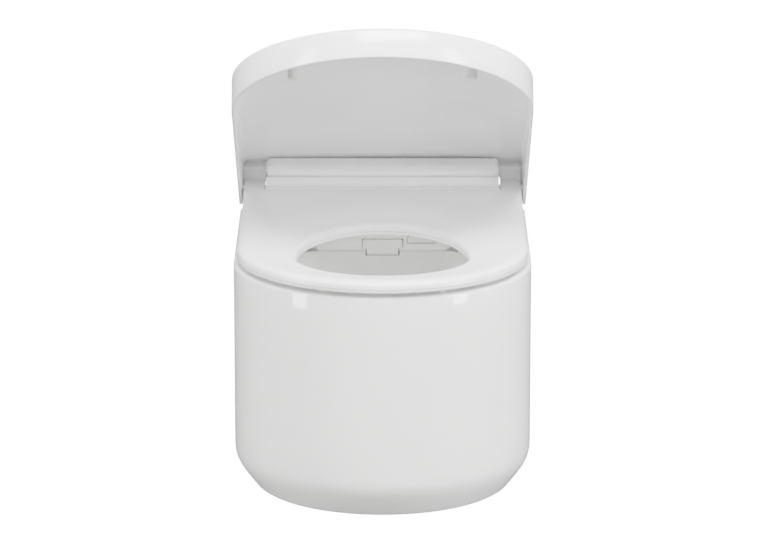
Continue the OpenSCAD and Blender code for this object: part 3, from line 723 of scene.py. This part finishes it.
def unit_front():
    """The front panel with its notch for the wand, the wand's T-shaped cap, and the dryer's gate."""
    front, back, half, low, high = FRONT_Y, 214.5, 92, 47.4, 81.5
    notch = [(-21.8, low), (-21.8, 50.4), (-27.2, 50.4), (-27.2, 63.6),
             (27.2, 63.6), (27.2, 50.4), (21.8, 50.4), (21.8, low)]
    corners = [(-half + 8, low)] + notch + [(half - 8, low), (half, low + 8), (half, high), (-half, high),
                                            (-half, low + 8)]
    outline = even(rounded(corners, [3, 0.3, 0.3, 0.5, 1.5, 1.5, 0.5, 0.3, 0.3, 3, 3, 1, 1, 3]), 0.8)
    gate = rounded([(31.8, 56.8), (70.8, 56.8), (70.8, 70.2), (31.8, 70.2)], [1.5] * 4)
    edge = quarter(0.5, 3) + [(0, "bottom", 0)]
    face = moulded("unit_front", SURFACE["fascia"], outline, lambda x, y: front, lambda x, y: back, edge,
                   [even(gate, 1.5)], quarter(0.4, 2) + [(0, "bottom", 0)], 0, None, facing)
    crisp(face, 35)
    ledge = rounded([(-88, 71.6), (88, 71.6), (88, 73.0), (-88, 73.0)], [0.6] * 4)
    strip = moulded("unit_ledge", SURFACE["fascia"], even(ledge, 1.0), lambda x, y: 225.2, lambda x, y: 223.0,
                    quarter(0.5, 3) + [(0, "bottom", 0)], (), None, 0, None, facing)
    keep(strip, "base", "fascia_plastic", "front_fascia")
    keep(face, "base", "fascia_plastic", "front_fascia")
    cap_form = rounded([(-20.8, 41.8), (20.8, 41.8), (20.8, 50.8), (26.2, 50.8), (26.2, 62.5), (-26.2, 62.5),
                        (-26.2, 50.8), (-20.8, 50.8)], [2, 2, 0.8, 1.2, 2, 2, 1.2, 0.8])
    cap_piece = moulded("spray_cap", SURFACE["fascia"], even(cap_form, 1.0),
                        lambda x, y: front + 0.5, lambda x, y: 220.8,
                        quarter(0.9, 3) + [(0, "bottom", 0)], (), None, 0, None, facing)
    crisp(cap_piece, 35)
    keep(cap_piece, "wand_inner", "fascia_plastic", "wand_front_cap")
    gate_form = rounded([(33, 58), (69.6, 58), (69.6, 66), (66.2, 66),
                         (66.2, 68.6), (36.4, 68.6), (36.4, 66), (33, 66)],
                        [1.2, 1.2, 0.3, 0.2, 0.5, 0.5, 0.2, 0.3])
    gate_piece = moulded("dryer_gate", SURFACE["fascia"], even(gate_form, 0.7),
                         lambda x, y: front, lambda x, y: 222.2, quarter(0.5, 2) + [(0, "bottom", 0)],
                         (), None, 0, None, facing)
    crisp(gate_piece, 35)
    keep(gate_piece, "flap", "fascia_plastic", "dryer_flap")
    for x, side in ((34.7, "left"), (67.9, "right")):
        lug = rounded([(x - 1.4, 66.3), (x + 1.4, 66.3), (x + 1.4, 69.1), (x - 1.4, 69.1)], [0.4] * 4)
        pin = moulded("gate_lug_" + side, SURFACE["nylon"], even(lug, 0.5),
                      lambda x, y: 223.6, lambda x, y: 221.8, quarter(0.3, 2) + [(0, "bottom", 0)],
                      (), None, 0, None, facing)
        keep(pin, "flap", "fascia_plastic", "dryer_flap")


# ---------- materials of the pieces that keep their own form ----------

KEPT = {
    "sleeve_plastic": "casing", "casing_plastic": "casing", "gloss_white": "lid", "seal_rubber": "rubber",
    "steel": "steel", "fascia_plastic": "fascia", "motor_plastic": "nylon", "gear_plastic": "nylon",
    "heating_foil": "foil", "soft_rubber": "silicone", "wand_plastic": "lid", "wand_steel": "steel",
    "inlet_brass": "brass", "board_green": "board", "filter_black": "rubber", "seat_white": "seat",
    "glazed_ceramic": "ceramic",
}


def dress():
    """Gives every CAD node the finish of its material slot."""
    for entry in frame["record"]["subparts"]:
        for place in frame["nodes"][entry["node"]].material_slots:
            place.material = SURFACE[KEPT[entry["material_slot"]]]


camera()
SURFACE = materials()
studio()
bowl()
seat()
lid()
hinge_bar()
unit_front()
dress()
